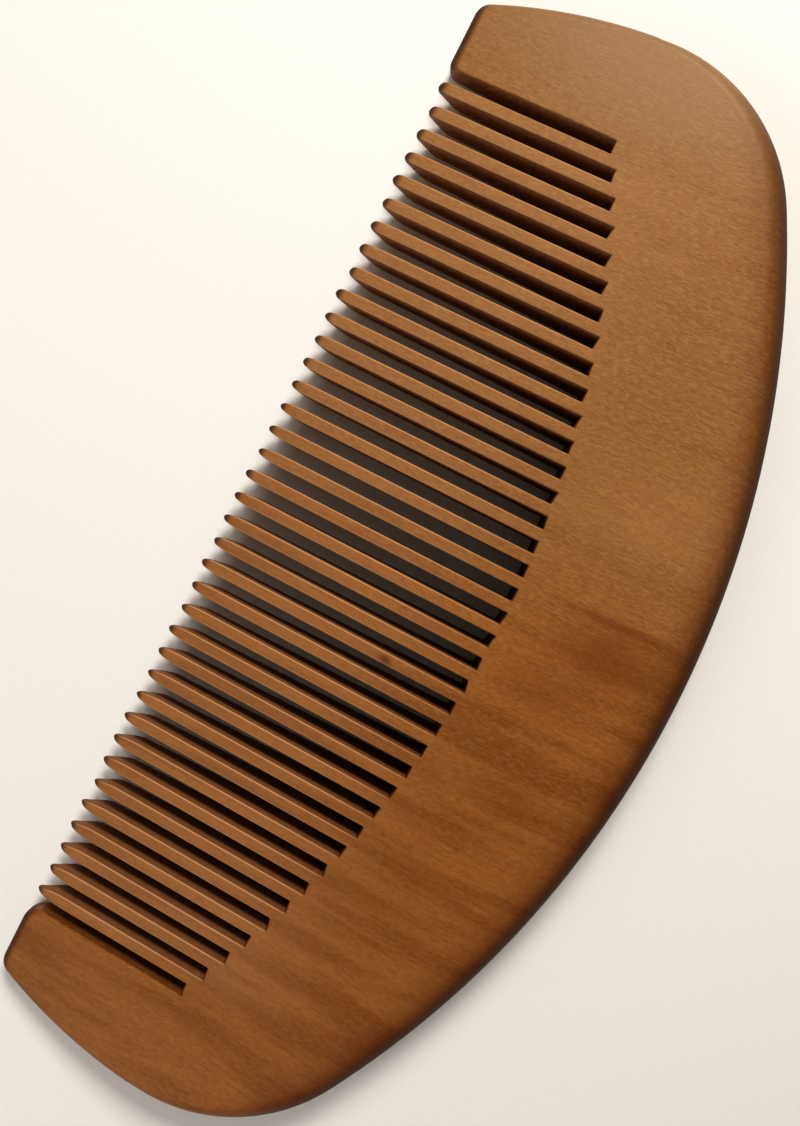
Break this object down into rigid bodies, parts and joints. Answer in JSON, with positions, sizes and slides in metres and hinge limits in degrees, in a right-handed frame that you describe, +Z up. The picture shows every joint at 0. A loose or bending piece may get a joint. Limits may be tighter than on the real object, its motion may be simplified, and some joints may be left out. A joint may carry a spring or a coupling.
{
  "type": "beard comb",
  "caption": "Half-moon wooden beard comb: curved solid back, fine straight teeth with tapered tips, a wide guard at each end, wedge-shaped section.",
  "frame": {"origin": "on the flat lower face, under the middle of the comb's box; the comb lies flat as on a table", "axes": "+X along the row of teeth, from the left end guard to the right one; +Y from the tooth tips to the curved back; +Z up through the thickness, out of the upper face"},
  "size_m": [0.1156, 0.048, 0.0082],
  "materials": {
    "comb_wood": "oiled satin"
  },
  "bodies": {
    "root": {"spine": "comb_wood", "end_guard_left": "comb_wood", "end_guard_right": "comb_wood", "tooth_01": "comb_wood", "tooth_02": "comb_wood", "tooth_03": "comb_wood", "tooth_04": "comb_wood", "tooth_05": "comb_wood", "tooth_06": "comb_wood", "tooth_07": "comb_wood", "tooth_08": "comb_wood", "tooth_09": "comb_wood", "tooth_10": "comb_wood", "tooth_11": "comb_wood", "tooth_12": "comb_wood", "tooth_13": "comb_wood", "tooth_14": "comb_wood", "tooth_15": "comb_wood", "tooth_16": "comb_wood", "tooth_17": "comb_wood", "tooth_18": "comb_wood", "tooth_19": "comb_wood", "tooth_20": "comb_wood", "tooth_21": "comb_wood", "tooth_22": "comb_wood", "tooth_23": "comb_wood", "tooth_24": "comb_wood", "tooth_25": "comb_wood", "tooth_26": "comb_wood", "tooth_27": "comb_wood", "tooth_28": "comb_wood", "tooth_29": "comb_wood", "tooth_30": "comb_wood", "tooth_31": "comb_wood", "tooth_32": "comb_wood", "tooth_33": "comb_wood", "tooth_34": "comb_wood", "tooth_35": "comb_wood", "tooth_36": "comb_wood", "tooth_37": "comb_wood"}
  },
  "joints": []
}
